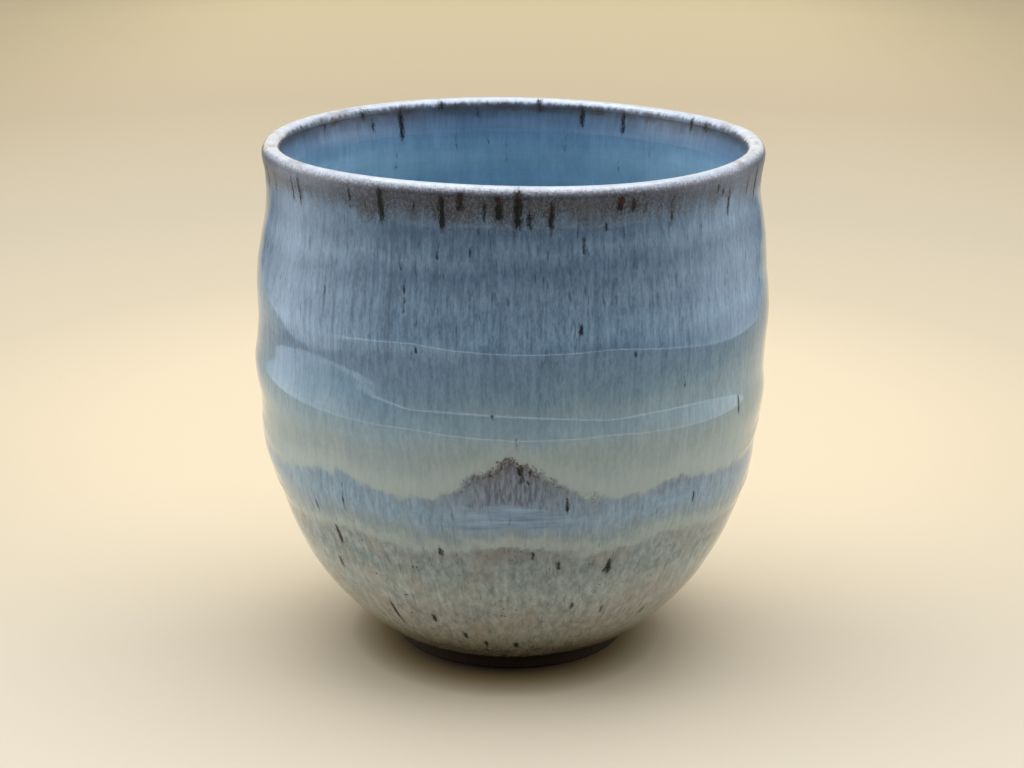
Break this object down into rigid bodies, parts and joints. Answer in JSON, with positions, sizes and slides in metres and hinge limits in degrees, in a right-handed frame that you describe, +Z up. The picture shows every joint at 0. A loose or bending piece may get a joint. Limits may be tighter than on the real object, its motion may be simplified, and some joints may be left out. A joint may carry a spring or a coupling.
{
  "type": "stoneware tumbler",
  "caption": "Handleless wheel-thrown stoneware cup with a rolled lip, a softly ridged round wall, run glaze inside and out and a low bare foot ring, for hot or cold drinks.",
  "frame": {"origin": "middle of the plane that the foot ring stands on", "axes": "+Z up along the axis the cup was thrown on; -Y faces the picture's camera"},
  "size_m": [0.0891, 0.089, 0.0893],
  "materials": {
    "bare_stoneware": "matt, dark brown fired clay, bare at the foot",
    "liner_glaze": "glossy teal-blue, streaked dark under the lip",
    "upper_glaze": "glossy streaky blue-grey running to pale olive cream at its lower edge",
    "middle_glaze": "glossy streaky mauve-blue running to olive cream at its lower edge",
    "lower_glaze": "satin grey-beige with fine dark iron specks"
  },
  "bodies": {
    "root": {"stoneware_body": "bare_stoneware", "liner_glaze": "liner_glaze", "upper_glaze_dip": "upper_glaze", "middle_glaze_dip": "middle_glaze", "lower_glaze_dip": "lower_glaze"}
  },
  "joints": []
}
